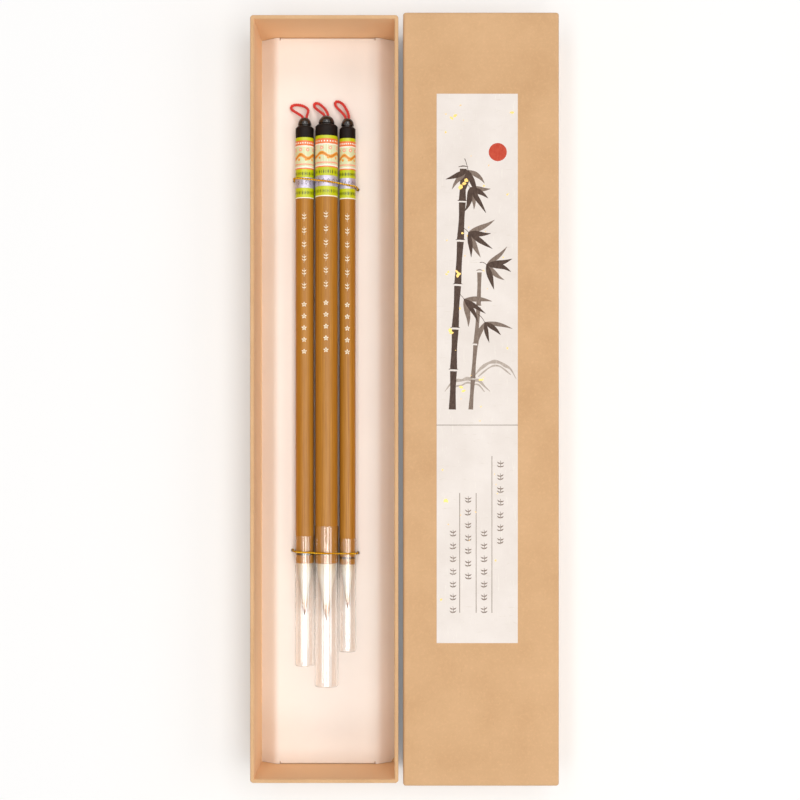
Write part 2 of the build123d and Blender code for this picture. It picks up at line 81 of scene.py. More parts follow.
# The hanging loops' routes, from the middle of each dome's tip: across, along and up, in mm.
LOOP_ROUTES = {
    "large": [
        (-0.75, -6.4, 0.05), (-0.73, -3.0, -0.05), (-0.8, 0.2, 0.0), (-2.4, 1.7, -1.5),
        (-4.4, 3.5, -3.3), (-6.2, 5.2, -4.6), (-6.1, 6.9, -4.9), (-4.3, 7.1, -4.7),
        (-2.2, 5.4, -3.6), (-0.3, 3.0, -1.9), (0.75, 0.8, -0.4), (0.76, -2.2, 0.05),
        (0.74, -5.6, -0.05),
    ],
    "medium": [
        (-0.75, -6.2, 0.05), (-0.73, -3.0, -0.05), (-0.8, 0.2, 0.0), (-2.7, 1.7, -1.0),
        (-5.0, 3.3, -2.5), (-6.8, 4.7, -3.6), (-6.6, 6.3, -3.9), (-4.6, 6.9, -3.85),
        (-2.1, 6.6, -3.4), (0.3, 5.5, -2.5), (1.8, 3.9, -1.5), (1.5, 2.0, -0.5),
        (0.77, -0.2, 0.0), (0.73, -3.3, -0.05), (0.75, -6.3, 0.05),
    ],
    "small": [
        (-0.75, -5.8, 0.05), (-0.73, -2.8, -0.05), (-0.75, 0.2, 0.0), (-2.1, 2.2, -0.9),
        (-3.9, 4.3, -2.3), (-5.6, 6.1, -3.3), (-6.25, 7.7, -3.55), (-5.4, 8.8, -3.5),
        (-3.9, 8.4, -3.1), (-2.1, 7.1, -2.4), (-0.8, 4.8, -1.4), (0.4, 2.3, -0.5),
        (0.76, -0.3, 0.05), (0.74, -3.0, -0.05), (0.76, -5.8, 0.05),
    ],
}

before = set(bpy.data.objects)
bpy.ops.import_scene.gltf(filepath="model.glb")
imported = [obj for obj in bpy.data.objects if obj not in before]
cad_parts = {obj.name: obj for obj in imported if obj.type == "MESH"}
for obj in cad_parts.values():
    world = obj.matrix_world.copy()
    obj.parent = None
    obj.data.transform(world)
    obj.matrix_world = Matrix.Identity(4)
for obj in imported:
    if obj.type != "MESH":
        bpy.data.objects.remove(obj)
cad_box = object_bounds()


def place_of(node):
    low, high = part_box(node)
    return low, high, (low + high) / 2


class BrushPlace:
    """Where one brush lies, read from its own CAD nodes."""

    def __init__(self, name):
        self.name = name
        low, high, middle = place_of(f"brush_{name}_handle")
        self.x, self.z = middle.x, middle.z
        self.end, self.joint = low.y, high.y
        self.radius = (high.x - low.x) / 2
        self.tip = self.joint + FINIAL_LENGTH
        self.hair_tip = self.end - HAIR_LENGTHS[name]
        low, high, _ = place_of(f"brush_{name}_cap")
        self.cap_end, self.cap_mouth = low.y, high.y
        self.cap_radius = (high.x - low.x) / 2
        low, high, _ = place_of(f"brush_{name}_sleeve")
        self.sleeve_low, self.sleeve_high = low.y, high.y
        self.sleeve_radius = (high.x - low.x) / 2
        low, high, _ = place_of(f"brush_{name}_foil_band")
        self.foil_middle = (low.y + high.y) / 2


BRUSHES = {name: BrushPlace(name) for name in BRUSH_NAMES}


# ---- node trees and materials ----


def colour(red, green, blue):
    """A screen colour, 0 to 255, as the linear colour that a socket takes."""

    def linear(value):
        value /= 255
        return value / 12.92 if value <= 0.04045 else ((value + 0.055) / 1.055) ** 2.4

    return (linear(red), linear(green), linear(blue), 1.0)


class NodeTree:
    """A tree of nodes. Its calls take numbers, colours or sockets."""

    def __init__(self, tree):
        self.tree = tree

    def put(self, socket, value):
        if isinstance(value, bpy.types.NodeSocket):
            self.tree.links.new(value, socket)
        else:
            socket.default_value = value

    def add(self, kind, inputs=(), **properties):
        node = self.tree.nodes.new("ShaderNode" + kind)
        for key, value in properties.items():
            setattr(node, key, value)
        for name, value in dict(inputs).items():
            self.put(node.inputs[name], value)
        return node

    def math(self, operation, first, second=0.0, third=0.0):
        inputs = {0: first, 1: second, 2: third}
        return self.add("Math", inputs, operation=operation).outputs[0]

    def times(self, first, second, plus=0.0):
        return self.math("MULTIPLY_ADD", first, second, plus)


class Look(NodeTree):
    """One material: a Principled surface and what feeds it."""

    def __init__(self, name, **settings):
        self.material = bpy.data.materials.new(name)
        self.material.use_nodes = True
        super().__init__(self.material.node_tree)
        self.surface = self.tree.nodes["Principled BSDF"]
        for key, value in settings.items():
            self.set(key.replace("_", " "), value)

    def set(self, name, value):
        self.put(self.surface.inputs[name], value)

    def give_way(self, factor, other):
        """Another shader takes the surface's place by that factor."""
        inputs = {0: factor, 1: self.surface.outputs[0], 2: other.outputs[0]}
        either = self.add("MixShader", inputs).outputs[0]
        self.put(self.tree.nodes["Material Output"].inputs["Surface"], either)

    def place(self, scale=(1, 1, 1), offset=(0, 0, 0), turn=(0, 0, 0)):
        """The point on the piece in millimetres, in its own space, then scaled and shifted."""
        source = self.add("TexCoord").outputs["Object"]
        scale = tuple(s / MM for s in scale)
        inputs = {"Vector": source, "Scale": scale, "Location": offset, "Rotation": turn}
        return self.add("Mapping", inputs).outputs[0]

    def split(self, vector):
        return self.add("SeparateXYZ", {"Vector": vector}).outputs

    def noise(self, vector, scale, detail, roughness, distortion=0.0):
        names = ("Vector", "Scale", "Detail", "Roughness", "Distortion")
        inputs = zip(names, (vector, scale, detail, roughness, distortion))
        return self.add("TexNoise", inputs).outputs[0]

    def drawn(self, scale, detail, roughness, distortion=0.0, **placed):
        """Noise with a scale of its own along each axis."""
        return self.noise(self.place(scale, **placed), 1.0, detail, roughness, distortion)

    def between(self, value, low, high):
        """0 below low, 1 above high and a straight line between them."""
        inputs = {"Value": value, "From Min": low, "From Max": high}
        return self.add("MapRange", inputs, clamp=True).outputs[0]

    def level(self, value, low, high):
        """0 to 1 turned into low to high."""
        return self.add("MapRange", {"Value": value, "To Min": low, "To Max": high}).outputs[0]

    def mix(self, factor, *tones):
        """Two colours mixed: three numbers are a screen colour, and four a linear one."""
        node = self.add("Mix", {0: factor}, data_type="RGBA", clamp_factor=True)
        for index, tone in zip((6, 7), tones):
            screen = isinstance(tone, tuple) and len(tone) == 3
            self.put(node.inputs[index], colour(*tone) if screen else tone)
        return node.outputs[2]

    def rough(self, value, low, high):
        self.set("Roughness", self.level(value, low, high))

    def base(self, factor, first, second):
        """The surface's colour, from one to another."""
        self.tone = self.mix(factor, first, second)
        self.set("Base Color", self.tone)

    def lay(self, factor, shade):
        """Another colour over what the surface has so far."""
        self.base(factor, self.tone, shade)

    def tint(self, value, low, high, most, shade):
        """Another colour, by nothing where value is low and by most where it is high."""
        self.lay(self.times(self.between(value, low, high), most), shade)

    def ramp(self, factor, stops):
        node = self.add("ValToRGB", {"Fac": factor})
        band = node.color_ramp
        while len(band.elements) < len(stops):
            band.elements.new(1.0)
        for element, (position, value) in zip(band.elements, stops):
            element.position = position
            element.color = colour(*value)
        return node.outputs[0]

    def relief(self, height, distance, strength, name="Normal"):
        """A bump of that height: distance is in millimetres."""
        inputs = {"Height": height, "Distance": distance * MM, "Strength": strength}
        self.set(name, self.add("Bump", inputs).outputs[0])


def band_mask(look, value, low, high):
    """1 where value lies between low and high."""
    above = look.math("GREATER_THAN", value, low)
    below = look.math("LESS_THAN", value, high)
    return look.times(above, below)


TUCK = 12.0  # mm that a side's paper goes round a corner, under the end's own paper
TUCK_EDGE = 0.12  # mm either side of its edge, where the end's paper steps down
TUCK_FACE = 0.35  # mm in from an end's outside, which is all that shows the step
TURNED_WALL = 1.7  # mm in from the outside, where the paper has turned in over the rim
INSIDE_LIGHT_LIFT = 0.9  # painted light: how much paler the paper is painted there, so the inner walls look more brightly lit


def from_middle(look, node):
    """How far across and along from a node's middle, and its own half sizes, in mm."""
    low, high, middle = place_of(node)
    places = look.split(look.place(offset=tuple(-c / MM for c in middle)))
    across, along = (look.math("ABSOLUTE", places[axis]) for axis in range(2))
    return across, along, (high.x - low.x) / 2 / MM, (high.y - low.y) / 2 / MM


def tucked_paper(look, node):
    """Height of the paper that is tucked under the ends' own: 1 over it and 0 beside it."""
    across, along, half_width, half_length = from_middle(look, node)
    edge = half_width - TUCK
    over = look.between(across, edge - TUCK_EDGE, edge + TUCK_EDGE)
    return look.times(over, look.math("GREATER_THAN", along, half_length - TUCK_FACE))


def painted_inside_light(look, node):
    """Painted light: how much paler the paper is painted inside the rim, so that the inner walls
    look more brightly lit.
    """
    across, along, half_width, half_length = from_middle(look, node)
    sides = look.math("LESS_THAN", across, half_width - TURNED_WALL)
    ends = look.math("LESS_THAN", along, half_length - TURNED_WALL)
    return look.times(look.times(sides, ends), INSIDE_LIGHT_LIFT)


def kraft(name, base, deep, seed, roughness=0.78, wrapped=None, lit_inside=False):
    """Wrapping paper: pulp clouds, short fibres, faint machine lines and a soft tooth."""
    look = Look(name, Roughness=roughness, Sheen_Weight=0.08, Specular_IOR_Level=0.35)
    where = look.place(offset=(seed, 2 * seed, 3 * seed))
    clouds = look.noise(where, 0.035, 5.0, 0.62)
    pulp = look.noise(where, 0.9, 6.0, 0.7)
    fibres_a = look.drawn((2.4, 0.35, 2.4), 3.0, 0.6, turn=(0, 0, 0.5))
    fibres_b = look.drawn((0.4, 2.6, 2.4), 3.0, 0.6, turn=(0, 0, -0.3))
    lines = look.drawn((0.012, 1.1, 1.1), 2.0, 0.5)
    look.base(look.between(clouds, 0.3, 0.72), deep, base)
    pale = tuple(min(1.0, c * 1.22) for c in base[:3]) + (1.0,)
    dark = tuple(c * 0.62 for c in deep[:3]) + (1.0,)
    look.tint(pulp, 0.5, 0.85, 0.5, pale)
    look.tint(fibres_a, 0.66, 0.8, 0.38, dark)
    look.tint(fibres_b, 0.66, 0.82, 0.34, pale)
    look.tint(lines, 0.35, 0.8, 0.12, deep)
    # Painted light: the inner walls are painted paler than the same paper outside.
    if lit_inside:
        look.lay(painted_inside_light(look, wrapped), pale)
    height = look.times(fibres_a, 0.6, pulp)
    height = look.times(fibres_b, 0.5, height)
    if wrapped:
        height = look.times(tucked_paper(look, wrapped), 4.0, height)
    look.relief(height, 0.035, 0.55)
    return look.material


def greyboard():
    look = Look("greyboard", Roughness=0.92)
    pulp = look.noise(look.place(), 1.2, 6.0, 0.75)
    layers = look.drawn((0.15, 0.15, 6.0), 3.0, 0.6)
    look.base(look.between(pulp, 0.3, 0.75), (120, 113, 104), (168, 160, 149))
    look.lay(look.times(layers, 0.3), (98, 92, 84))
    look.relief(pulp, 0.06, 0.7)
    return look.material


def gummed_tape():
    look = Look("gummed_tape", Roughness=0.55)
    ribs = look.drawn((0.2, 0.2, 3.0), 4.0, 0.6)
    look.base(look.between(ribs, 0.3, 0.7), (160, 124, 84), (186, 150, 108))
    look.relief(ribs, 0.02, 0.4)
    return look.material


def platform_card():
    """Smooth off-white board: faint clouds, a cooler cast in the hollows and a fine tooth."""
    look = Look("platform_card", Roughness=0.6, Specular_IOR_Level=0.4)
    where = look.place()
    clouds = look.noise(where, 0.02, 4.0, 0.55)
    grain = look.noise(where, 3.2, 4.0, 0.65)
    mottle = look.noise(where, 0.35, 5.0, 0.6)
    look.base(look.between(clouds, 0.3, 0.7), (240, 231, 224), (245, 238, 231))
    look.lay(look.times(mottle, 0.16), (236, 223, 215))
    fibre = look.drawn((1.6, 0.3, 1.6), 3.0, 0.6)
    look.tint(fibre, 0.68, 0.8, 0.12, (222, 200, 186))
    look.rough(grain, 0.52, 0.68)
    height = look.times(mottle, 2.0, grain)
    look.relief(height, 0.02, 0.35)
    return look.material


def label_paper():
    """Pale mulberry paper with long soft fibres pressed into it."""
    look = Look("label_paper", Roughness=0.72, Specular_IOR_Level=0.35)
    clouds = look.noise(look.place(), 0.05, 4.0, 0.6)
    long_a = look.drawn((1.3, 0.16, 1.0), 3.0, 0.55, 1.2, turn=(0, 0, 0.7), offset=(5, 0, 0))
    long_b = look.drawn((0.18, 1.2, 1.0), 3.0, 0.55, 1.0, turn=(0, 0, 0.35))
    look.base(look.between(clouds, 0.3, 0.7), (225, 217, 211), (234, 227, 222))
    look.tint(long_a, 0.62, 0.74, 0.55, (243, 239, 230))
    look.tint(long_b, 0.63, 0.76, 0.4, (206, 196, 180))
    height = look.math("ADD", long_a, long_b)
    look.relief(height, 0.03, 0.4)
    return look.material


def bamboo(brush):
    """Varnished bamboo: long fibres down the stick, uneven stain and small dark flecks."""
    coat = {"Coat_Weight": 0.12, "Coat_Roughness": 0.3}
    look = Look(f"bamboo_{brush.name}", Specular_IOR_Level=0.35, **coat)
    seed = 40 * BRUSH_NAMES.index(brush.name)
    fine = look.drawn((5.5, 0.045, 5.5), 5.0, 0.65, offset=(seed, 0, 0))
    broad = look.drawn((1.1, 0.012, 1.1), 3.0, 0.55, offset=(0, seed, 0))
    stain = look.drawn((0.12, 0.02, 0.12), 3.0, 0.5, offset=(seed, seed, 0))
    flecks = look.drawn((3.0, 0.5, 3.0), 2.0, 0.6, offset=(0, 0, seed))
    look.base(look.between(broad, 0.32, 0.7), (160, 104, 26), (186, 128, 40))
    look.tint(fine, 0.5, 0.72, 0.62, (128, 76, 16))
    look.tint(fine, 0.5, 0.3, 0.5, (206, 150, 60))
    look.tint(stain, 0.35, 0.75, 0.3, (172, 116, 30))
    look.tint(flecks, 0.7, 0.78, 0.6, (96, 56, 18))
    along = look.split(look.place())[1]
    ring = brush.end / MM + RING_SHIFTS[brush.name]
    groove = band_mask(look, along, ring - RING_HALF, ring + RING_HALF)
    look.lay(groove, (40, 22, 10))
    look.rough(fine, 0.34, 0.52)
    look.relief(fine, 0.035, 0.5)
    return look.material


def dark_finial(brush):
    """Turned and lacquered: a matt collar with tool marks under a glossy dome."""
    look = Look(f"dark_finial_{brush.name}")
    along = look.split(look.place())[1]
    rings = look.drawn((0.02, 6.0, 0.02), 4.0, 0.7)
    smudge = look.noise(look.place(), 0.5, 4.0, 0.6)
    dome = look.between(along, *(brush.tip / MM - edge for edge in DOME_EDGE))
    look.base(look.between(smudge, 0.35, 0.7), (17, 11, 9), (30, 21, 17))
    look.lay(look.times(rings, 0.25), (44, 32, 26))
    matt = look.level(rings, 0.46, 0.62)
    gloss = look.level(smudge, 0.05, 0.11)
    look.set("Specular IOR Level", look.level(dome, 0.14, 0.7))
    step = look.math("SUBTRACT", gloss, matt)
    look.set("Roughness", look.times(dome, step, matt))
    look.relief(rings, 0.03, 0.5)
    return look.material


def red_cord():
    """Twisted silk: fine filaments along each ply, darker where the plies meet."""
    look = Look("red_cord", Roughness=0.58, Sheen_Weight=0.35, Specular_IOR_Level=0.4)
    where = look.place()
    fuzz = look.noise(where, 5.5, 3.0, 0.6)
    worn = look.noise(where, 0.6, 3.0, 0.5)
    look.base(look.between(worn, 0.3, 0.7), (200, 24, 14), (226, 42, 24))
    look.tint(fuzz, 0.52, 0.7, 0.5, (240, 78, 56))
    look.tint(fuzz, 0.48, 0.3, 0.6, (120, 8, 8))
    look.relief(fuzz, 0.06, 0.8)
    return look.material


def gold_wire():
    look = Look("gold_wire", Metallic=0.9)
    where = look.place()
    wear = look.noise(where, 2.2, 3.0, 0.6)
    dents = look.noise(where, 6.0, 2.0, 0.5)
    look.base(look.between(wear, 0.3, 0.7), (226, 170, 14), (255, 216, 48))
    # Painted shade: dark bands across the wire at half the twist's pitch, for the shade where the
    # two plies meet.
    across = look.times(look.split(where)[0], 2 * pi / (TIE_PITCH / MM / 2))
    ply_valley_shade = look.between(look.math("SINE", across), 0.0, 0.9)
    look.lay(ply_valley_shade, (122, 66, 8))
    look.rough(wear, 0.2, 0.34)
    look.relief(dents, 0.03, 0.5)
    return look.material


CLEAR_DEPTH = 3.5  # surfaces that light bends at, before the rest count as plain film


def clear_plastic():
    """Thin clear plastic. Its shadow is a film's, so that what it covers stays lit."""
    coat = {"Coat_Weight": 1.0, "Coat_Roughness": 0.03, "Coat_IOR": 1.8}
    look = Look("clear_plastic", Transmission_Weight=1.0, IOR=1.06, Roughness=0.0, **coat)
    ripple = look.drawn((0.35, 0.03, 0.35), 2.0, 0.5)
    look.set("Base Color", (1.0, 0.995, 0.99, 1.0))
    look.relief(ripple, 0.02, 0.25)
    look.relief(ripple, 0.03, 0.5, "Coat Normal")
    film = look.add("BsdfTransparent", {"Color": (0.97, 0.965, 0.96, 1.0)})
    rays = look.add("LightPath").outputs
    lamp = look.math("MAXIMUM", rays["Is Shadow Ray"], rays["Is Diffuse Ray"])
    behind = look.math("GREATER_THAN", rays["Transmission Depth"], CLEAR_DEPTH)
    look.give_way(look.math("MAXIMUM", lamp, behind), film)
    return look.material


def brush_hair(brush):
    """Cream goat hair that turns brown towards the point."""
    name = f"brush_hair_{brush.name}"
    look = Look(name, Roughness=0.5, Sheen_Weight=0.25, Specular_IOR_Level=0.4)
    along = look.split(look.place())[1]
    streaks = look.drawn((7.0, 0.1, 7.0), 3.0, 0.6)
    share = look.between(along, brush.end / MM, brush.hair_tip / MM)
    share = look.times(look.math("SUBTRACT", streaks, 0.5), 0.16, share)
    stops = [
        (0.0, (240, 226, 200)),
        (0.25, (255, 250, 238)),
        (0.62, (254, 244, 226)),
        (0.78, (222, 184, 140)),
        (0.9, (166, 112, 70)),
        (1.0, (112, 66, 38)),
    ]
    look.tone = look.ramp(share, stops)
    look.tint(streaks, 0.5, 0.75, 0.3, (214, 188, 150))
    return look.material


WHOLE = 100.0  # a whole number of repeats, so that the share of one is never negative
FOIL_MARKS = 14


def round_handle(look, brush):
    """How far round a handle's axis, in radians, and how far along it, in mm."""
    x, y, z = look.split(look.place(offset=(-brush.x / MM, 0, -brush.z / MM)))[:3]
    return look.math("ARCTAN2", x, z), y


def sleeve_print(brush):
    """The printed film: bands of colour with plain repeats round the handle."""
    name = f"sleeve_paper_{brush.name}"
    look = Look(name, Roughness=0.38, Coat_Weight=0.3, Coat_Roughness=0.2)
    turn, y = round_handle(look, brush)
    round_it = look.times(turn, brush.sleeve_radius / MM)
    wobble = look.noise(look.place(), 0.35, 2.0, 0.5)
    down = look.math("SUBTRACT", brush.sleeve_high / MM, y)
    down = look.times(look.math("SUBTRACT", wobble, 0.5), 0.35, down)
    turns = 2 * pi * brush.sleeve_radius / MM

    def repeat(count, shift=0.0):
        """How far round from the nearest of so many places, in mm."""
        pitch = turns / count
        part = look.times(round_it, 1 / pitch, shift + WHOLE)
        part = look.math("FRACT", part)
        return look.times(look.math("SUBTRACT", part, 0.5), pitch)

    def spot(across, level, wide, high):
        """1 inside a diamond round that level."""
        rise = look.math("SUBTRACT", down, level)
        a = look.math("DIVIDE", look.math("ABSOLUTE", across), wide)
        b = look.math("DIVIDE", look.math("ABSOLUTE", rise), high)
        return look.math("LESS_THAN", look.math("ADD", a, b), 1.0)

    def disc(across, level, radius):
        rise = look.math("SUBTRACT", down, level)
        square = look.times(rise, rise, look.times(across, across))
        return look.math("LESS_THAN", square, radius * radius)

    def band(low, high):
        return band_mask(look, down, low, high)

    def bar(across, half, low, high):
        inside = look.math("LESS_THAN", look.math("ABSOLUTE", across), half)
        return look.times(inside, band(low, high))

    lime, lime_deep = (204, 212, 2), (184, 194, 0)
    orange, white, pink = (236, 122, 62), (250, 246, 236), (248, 164, 134)
    pale, pale_deep = (234, 234, 204), (190, 206, 120)
    ochre, ochre_deep, ink = (238, 160, 48), (204, 122, 30), (92, 104, 12)
    look.base(wobble, lime, lime_deep)
    look.lay(band(1.5, 3.9), orange)
    look.lay(bar(repeat(24), 0.3, 2.35, 3.05), white)
    look.lay(band(3.9, 14.6), pale)
    look.lay(look.times(bar(repeat(44), 0.13, 4.5, 13.9), 0.8), pale_deep)
    look.lay(band(3.9, 4.35), white)
    look.lay(disc(repeat(8), 5.9, 0.85), pink)
    look.lay(disc(repeat(8), 5.9, 0.35), pale)
    wave = look.math("SINE", look.times(turn, 4.0))
    middle = look.times(wave, 0.9, 9.2)
    off = look.math("ABSOLUTE", look.math("SUBTRACT", down, middle))
    look.lay(look.math("LESS_THAN", off, 0.85), ochre)
    look.lay(look.math("LESS_THAN", off, 0.28), ochre_deep)
    look.lay(disc(repeat(8, 0.25), 10.6, 0.62), ochre)
    look.lay(band(12.6, 13.2), pink)
    look.lay(band(14.0, 14.6), white)
    look.lay(band(14.6, 15.2), orange)
    look.lay(spot(repeat(16), 17.3, 0.42, 1.1), ink)
    look.lay(bar(repeat(16, 0.5), 0.16, 16.6, 18.0), ink)
    look.lay(spot(repeat(18), 26.4, 0.34, 1.1), ink)
    look.lay(bar(repeat(18, 0.5), 0.15, 25.6, 27.2), ink)
    look.lay(band(28.55, 30.0), white)
    creases = look.drawn((0.5, 0.9, 0.5), 4.0, 0.6, 0.6)
    look.relief(creases, 0.12, 0.35)
    return look.material


def silver_foil(brush):
    look = Look(f"silver_foil_{brush.name}", Metallic=0.55)
    turn, y = round_handle(look, brush)
    count = FOIL_MARKS / (2 * pi)
    part = look.math("FRACT", look.times(turn, count, WHOLE))
    across = look.math("ABSOLUTE", look.math("SUBTRACT", part, 0.5))
    rise = look.math("ABSOLUTE", look.math("SUBTRACT", y, brush.foil_middle / MM))
    slope = look.math("ADD", look.times(across, 3.2), look.times(rise, 0.9))
    mark = band_mask(look, slope, 0.62, 1.0)
    cloud = look.noise(look.place(), 0.7, 4.0, 0.6)
    look.base(look.between(cloud, 0.3, 0.7), (176, 170, 190), (214, 209, 226))
    look.lay(look.times(mark, 0.9), (92, 86, 92))
    crinkle = look.noise(look.place(), 1.6, 3.0, 0.55, 0.8)
    look.rough(cloud, 0.34, 0.5)
    look.relief(crinkle, 0.2, 0.9)
    return look.material


def ink(name, tone_a, tone_b):
    look = Look(name, Roughness=0.8, Specular_IOR_Level=0.25)
    wash = look.drawn((1.2, 0.5, 1.0), 5.0, 0.7)
    look.base(look.between(wash, 0.3, 0.7), tone_a, tone_b)
    look.relief(wash, 0.01, 0.3)
    return look.material


def gold_leaf():
    look = Look("gold_leaf", Metallic=0.25)
    crumple = look.noise(look.place(), 1.4, 4.0, 0.6)
    look.base(crumple, (240, 190, 84), (252, 216, 132))
    look.rough(crumple, 0.28, 0.5)
    look.relief(crumple, 0.05, 0.8)
    return look.material


def handle_paint():
    look = Look("handle_paint", Roughness=0.5)
    worn = look.noise(look.place(), 2.4, 4.0, 0.7)
    look.base(look.between(worn, 0.35, 0.6), (214, 196, 158), (250, 242, 222))
    look.relief(worn, 0.02, 0.4)
    return look.material


# ---- meshes ----


def linked(name, data):
    made = bpy.data.objects.new(name, data)
    bpy.context.scene.collection.objects.link(made)
    return made


def solid(name, vertices, faces, material):
    mesh = bpy.data.meshes.new(name)
    mesh.from_pydata([tuple(v) for v in vertices], [], faces)
    mesh.update()
    mesh.materials.append(material)
    return linked(name, mesh)


def piece(name, vertices, faces, material, body, slot, stands_for=(), smooth=True):
    made = solid(name, vertices, faces, material)
    made.data.polygons.foreach_set("use_smooth", [smooth] * len(faces))
    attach(made, body)
    if stands_for:
        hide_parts(*stands_for)
    return made


def paint_node(node, material):
    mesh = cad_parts[node].data
    mesh.materials.clear()
    mesh.materials.append(material)


def framed(points):
    """Each point of a path with its direction and a side that turns no more than the path does."""
    side = None
    result = []
    for index, point in enumerate(points):
        before = points[max(index - 1, 0)]
        after = points[min(index + 1, len(points) - 1)]
        along = (after - before).normalized()
        if side is None:
            side = along.orthogonal().normalized()
        side = (side - along * side.dot(along)).normalized()
        result.append((point, along, side))
    return result


def spaced(points, step):
    """The same path with points at even distances."""
    reach = [0.0]
    for first, second in zip(points, points[1:]):
        reach.append(reach[-1] + (second - first).length)
    count = max(2, round(reach[-1] / step))
    result = []
    index = 0
    for place in range(count + 1):
        wanted = reach[-1] * place / count
        while index < len(points) - 2 and reach[index + 1] < wanted:
            index += 1
        gap = reach[index + 1] - reach[index]
        share = 0.0 if gap == 0 else (wanted - reach[index]) / gap
        result.append(points[index].lerp(points[index + 1], min(1.0, share)))
    return result


def tube(first, rings, sides):
    """The faces along a tube whose rings of vertices start at first."""
    faces = []
    for ring in range(rings - 1):
        for corner in range(sides):
            beside = (corner + 1) % sides
            a, b = first + ring * sides, first + (ring + 1) * sides
            faces.append((a + corner, a + beside, b + beside, b + corner))
    return faces


TWIST_STEP = 0.12 * MM
TWIST_SIDES = 10


def twisted(path, plies, ply_radius, lay, pitch):
    """Vertices and faces of plies wound round a path: lay is each ply's distance from it."""
    vertices, faces = [], []
    frames = framed(spaced(path, TWIST_STEP))
    corners = [2 * pi * corner / TWIST_SIDES for corner in range(TWIST_SIDES)]
    for ply in range(plies):
        start = 2 * pi * ply / plies
        line = []
        for index, (point, along, side) in enumerate(frames):
            angle = start + 2 * pi * index * TWIST_STEP / pitch
            out = Matrix.Rotation(angle, 3, along) @ side
            line.append(point + out * lay)
        first = len(vertices)
        for point, along, side in framed(line):
            across = along.cross(side)
            for angle in corners:
                out = side * cos(angle) + across * sin(angle)
                vertices.append(point + out * ply_radius)
        faces += tube(first, len(line), TWIST_SIDES)
        faces.append(tuple(range(first, first + TWIST_SIDES))[::-1])
        faces.append(tuple(range(len(vertices) - TWIST_SIDES, len(vertices))))
    return vertices, faces


def revolved(brush, outline, sides):
    """A closed outline of (radius, place along Y) turned round a brush's axis."""
    vertices, faces = [], []
    for index in range(sides):
        angle = 2 * pi * index / sides
        for radius, y in outline:
            x, z = radius * cos(angle), radius * sin(angle)
            vertices.append((brush.x + x, y, brush.z + z))
    count = len(outline)
    for index in range(sides):
        beside = (index + 1) % sides
        for k in range(count):
            following = (k + 1) % count
            a, b = index * count, beside * count
            faces.append((a + k, b + k, b + following, a + following))
    return vertices, faces


def rounded(points, radius, steps=8):
    """A polyline with its inner corners rounded."""
    result = [points[0]]
    for before, corner, after in zip(points, points[1:], points[2:]):
        reach = min(radius, (before - corner).length * 0.49, (after - corner).length * 0.49)
        first = corner + (before - corner).normalized() * reach
        last = corner + (after - corner).normalized() * reach
        for step in range(steps + 1):
            t = step / steps
            result.append(first.lerp(corner, t).lerp(corner.lerp(last, t), t))
    result.append(points[-1])
    return result


# ---- hanging loops ----
PLY_RADIUS = 0.325 * MM
PLY_LAY = 0.375 * MM
CORD_PITCH = 3.0 * MM
ROUTE_STEP = 0.1 * MM


def hanging_loop(brush, material):
    origin = Vector((brush.x, brush.tip, brush.z))
    points = [origin + Vector(point) * MM for point in LOOP_ROUTES[brush.name]]
    curve = bpy.data.curves.new("loop_route", "CURVE")
    curve.dimensions = "3D"
    curve.resolution_u = 24
    spline = curve.splines.new("NURBS")
    spline.points.add(len(points) - 1)
    for place, point in zip(spline.points, points):
        place.co = (*point, 1.0)
    spline.order_u = 3
    spline.use_endpoint_u = True
    route = bpy.data.objects.new("loop_route", curve)
    line = bpy.data.meshes.new_from_object(route)
    path = spaced([vertex.co.copy() for vertex in line.vertices], ROUTE_STEP)
    bpy.data.meshes.remove(line)
    bpy.data.objects.remove(route)
    bpy.data.curves.remove(curve)
    shape = twisted(path, 3, PLY_RADIUS, PLY_LAY, CORD_PITCH)
    body, nodes = f"brush_{brush.name}", (f"brush_{brush.name}_loop",)
    made = piece(f"loop_{brush.name}", *shape, material, body, "red_cord", nodes)
    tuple(path[0])


# ---- wire ties ----
# Each tie's place across the large brush, its slant in degrees, the holes' distances from the
# outer brushes' axes, and which way its ends lie under the card, in mm.
TIES = {"tie_upper": (103.9, -7.8, 5.2, 4.8, -1), "tie_lower": (-72.7, -2.2, 6.1, 4.9, 1)}
TIE_DIAMETER = 0.9 * MM
TIE_TAIL = 8.0 * MM
TIE_TAIL_PITCH = 1.05 * MM
TIE_BEND = 1.1 * MM
TIE_PITCH = 1.6 * MM


def upper_hull(points):
    """The taut line over points that are sorted from left to right."""
    hull = []
    for point in points:
        while len(hull) > 1:
            (ax, az), (bx, bz) = hull[-2], hull[-1]
            if (bx - ax) * (point[1] - az) - (bz - az) * (point[0] - ax) < 0:
                break
            hull.pop()
        hull.append(point)
    return hull


